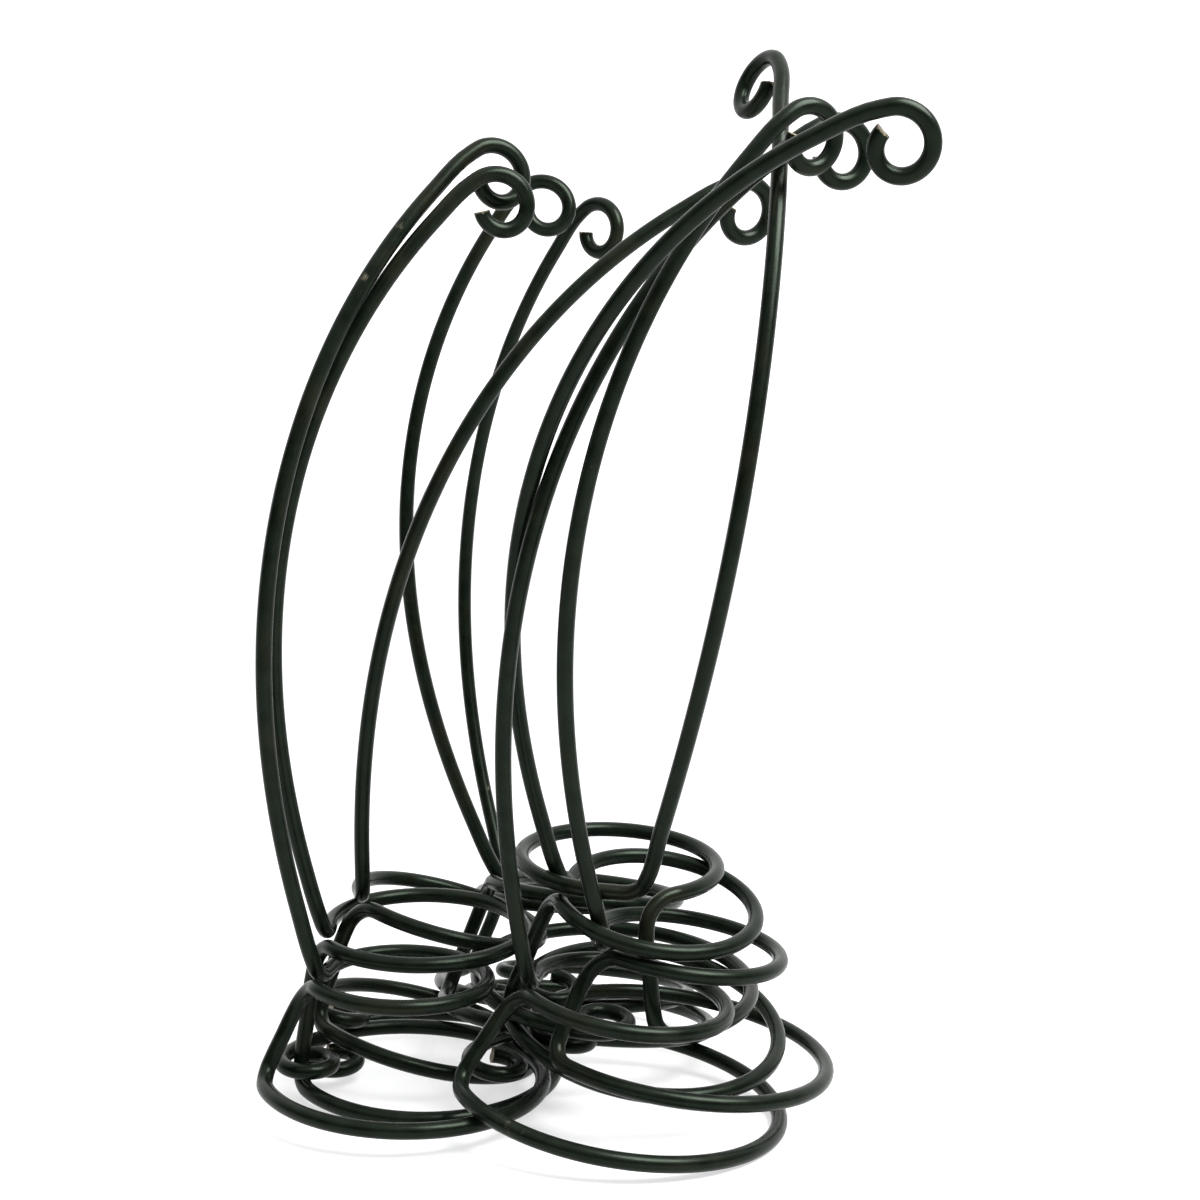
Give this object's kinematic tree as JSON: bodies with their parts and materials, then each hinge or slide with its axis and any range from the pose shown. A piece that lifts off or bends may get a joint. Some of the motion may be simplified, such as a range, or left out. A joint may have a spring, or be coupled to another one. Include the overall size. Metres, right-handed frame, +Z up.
{
  "type": "tangled set of wire mug hook stands",
  "caption": "Black bent-wire mug hook stands, each a double ring base, a leg, a tall bowed stem and a curled hook, nested into one loose pile.",
  "frame": {"origin": "middle of the pile's bounding box in plan, on the surface that the lowest base rings rest on", "axes": "+Z up, along the stems; +Y away from the side that the two front base rings face; +X to the right of that view"},
  "size_m": [0.2014, 0.234, 0.3483],
  "materials": {
    "black_coat": "satin"
  },
  "bodies": {
    "stand_1": {"wire_stand_1": "black_coat"},
    "stand_2": {"wire_stand_2": "black_coat"},
    "stand_3": {"wire_stand_3": "black_coat"},
    "stand_4": {"wire_stand_4": "black_coat"},
    "stand_5": {"wire_stand_5": "black_coat"},
    "stand_6": {"wire_stand_6": "black_coat"},
    "stand_7": {"wire_stand_7": "black_coat"},
    "stand_8": {"wire_stand_8": "black_coat"},
    "stand_9": {"wire_stand_9": "black_coat"}
  },
  "joints": [
    {"name": "stand_2_turn", "type": "hinge", "parent": "stand_1", "child": "stand_2", "pos_m": [-0.066, -0.041, 0], "axis": [0, 0, 1], "range_deg": [-1.5, 0]},
    {"name": "stand_3_turn", "type": "hinge", "parent": "stand_1", "child": "stand_3", "pos_m": [-0.041, -0.005, 0], "axis": [0, 0, 1], "range_deg": [0, 2.2]},
    {"name": "stand_4_turn", "type": "hinge", "parent": "stand_1", "child": "stand_4", "pos_m": [-0.001, 0.051, 0], "axis": [0, 0, 1], "range_deg": [0, 2.5]},
    {"name": "stand_5_turn", "type": "hinge", "parent": "stand_1", "child": "stand_5", "pos_m": [-0.002, 0.041, 0], "axis": [0, 0, 1], "range_deg": [0, 1.7]},
    {"name": "stand_6_turn", "type": "hinge", "parent": "stand_1", "child": "stand_6", "pos_m": [0.069, -0.016, 0], "axis": [0, 0, 1], "range_deg": [0, 1.7]},
    {"name": "stand_7_turn", "type": "hinge", "parent": "stand_1", "child": "stand_7", "pos_m": [0.04, -0.025, 0], "axis": [0, 0, 1], "range_deg": [0, 1.8]},
    {"name": "stand_8_turn", "type": "hinge", "parent": "stand_1", "child": "stand_8", "pos_m": [-0.011, -0.019, 0], "axis": [0, 0, 1], "range_deg": [-0.5, 0]},
    {"name": "stand_9_turn", "type": "hinge", "parent": "stand_1", "child": "stand_9", "pos_m": [0.047, 0.014, 0], "axis": [0, 0, 1], "range_deg": [-0.55, 0]}
  ]
}
